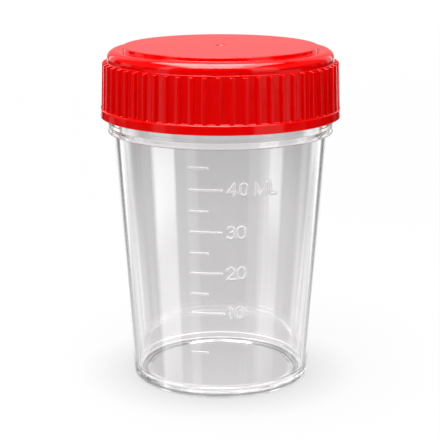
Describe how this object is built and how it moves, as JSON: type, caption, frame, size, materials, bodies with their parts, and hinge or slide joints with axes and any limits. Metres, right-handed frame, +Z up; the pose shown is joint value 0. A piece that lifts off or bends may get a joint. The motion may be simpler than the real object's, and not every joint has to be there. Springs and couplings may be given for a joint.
{
  "type": "urine specimen cup",
  "caption": "Clear tapered specimen cup with raised volume marks and a collar, closed by a red ribbed screw cap over a soft sealing wad.",
  "frame": {"origin": "centre of the foot, in the plane the cup stands on", "axes": "+Z up along the cup's axis of revolution, -Y the front that carries the graduations"},
  "size_m": [0.048, 0.048, 0.0676],
  "materials": {
    "clear_plastic": "clear moulded polystyrene, polished",
    "red_cap_plastic": "moulded polyethylene, semi-gloss",
    "foam_wad": "fine closed-cell foam, soft"
  },
  "bodies": {
    "cup": {"cup_body": "clear_plastic"},
    "wad": {"seal_liner": "foam_wad"},
    "cap": {"screw_cap": "red_cap_plastic"}
  },
  "joints": [
    {"name": "cap_lift", "type": "slide", "parent": "cup", "child": "wad", "axis": [0, 0, 1], "range_m": [0, 0.0125]},
    {"name": "cap_turn", "type": "hinge", "parent": "wad", "child": "cap", "pos_m": [0, 0, 0.06], "axis": [0, 0, 1], "range_deg": [0, 1080]}
  ],
  "couplings": [
    {"joint": "cap_lift", "follows": "cap_turn", "m_per_rad": 0.00063662}
  ]
}
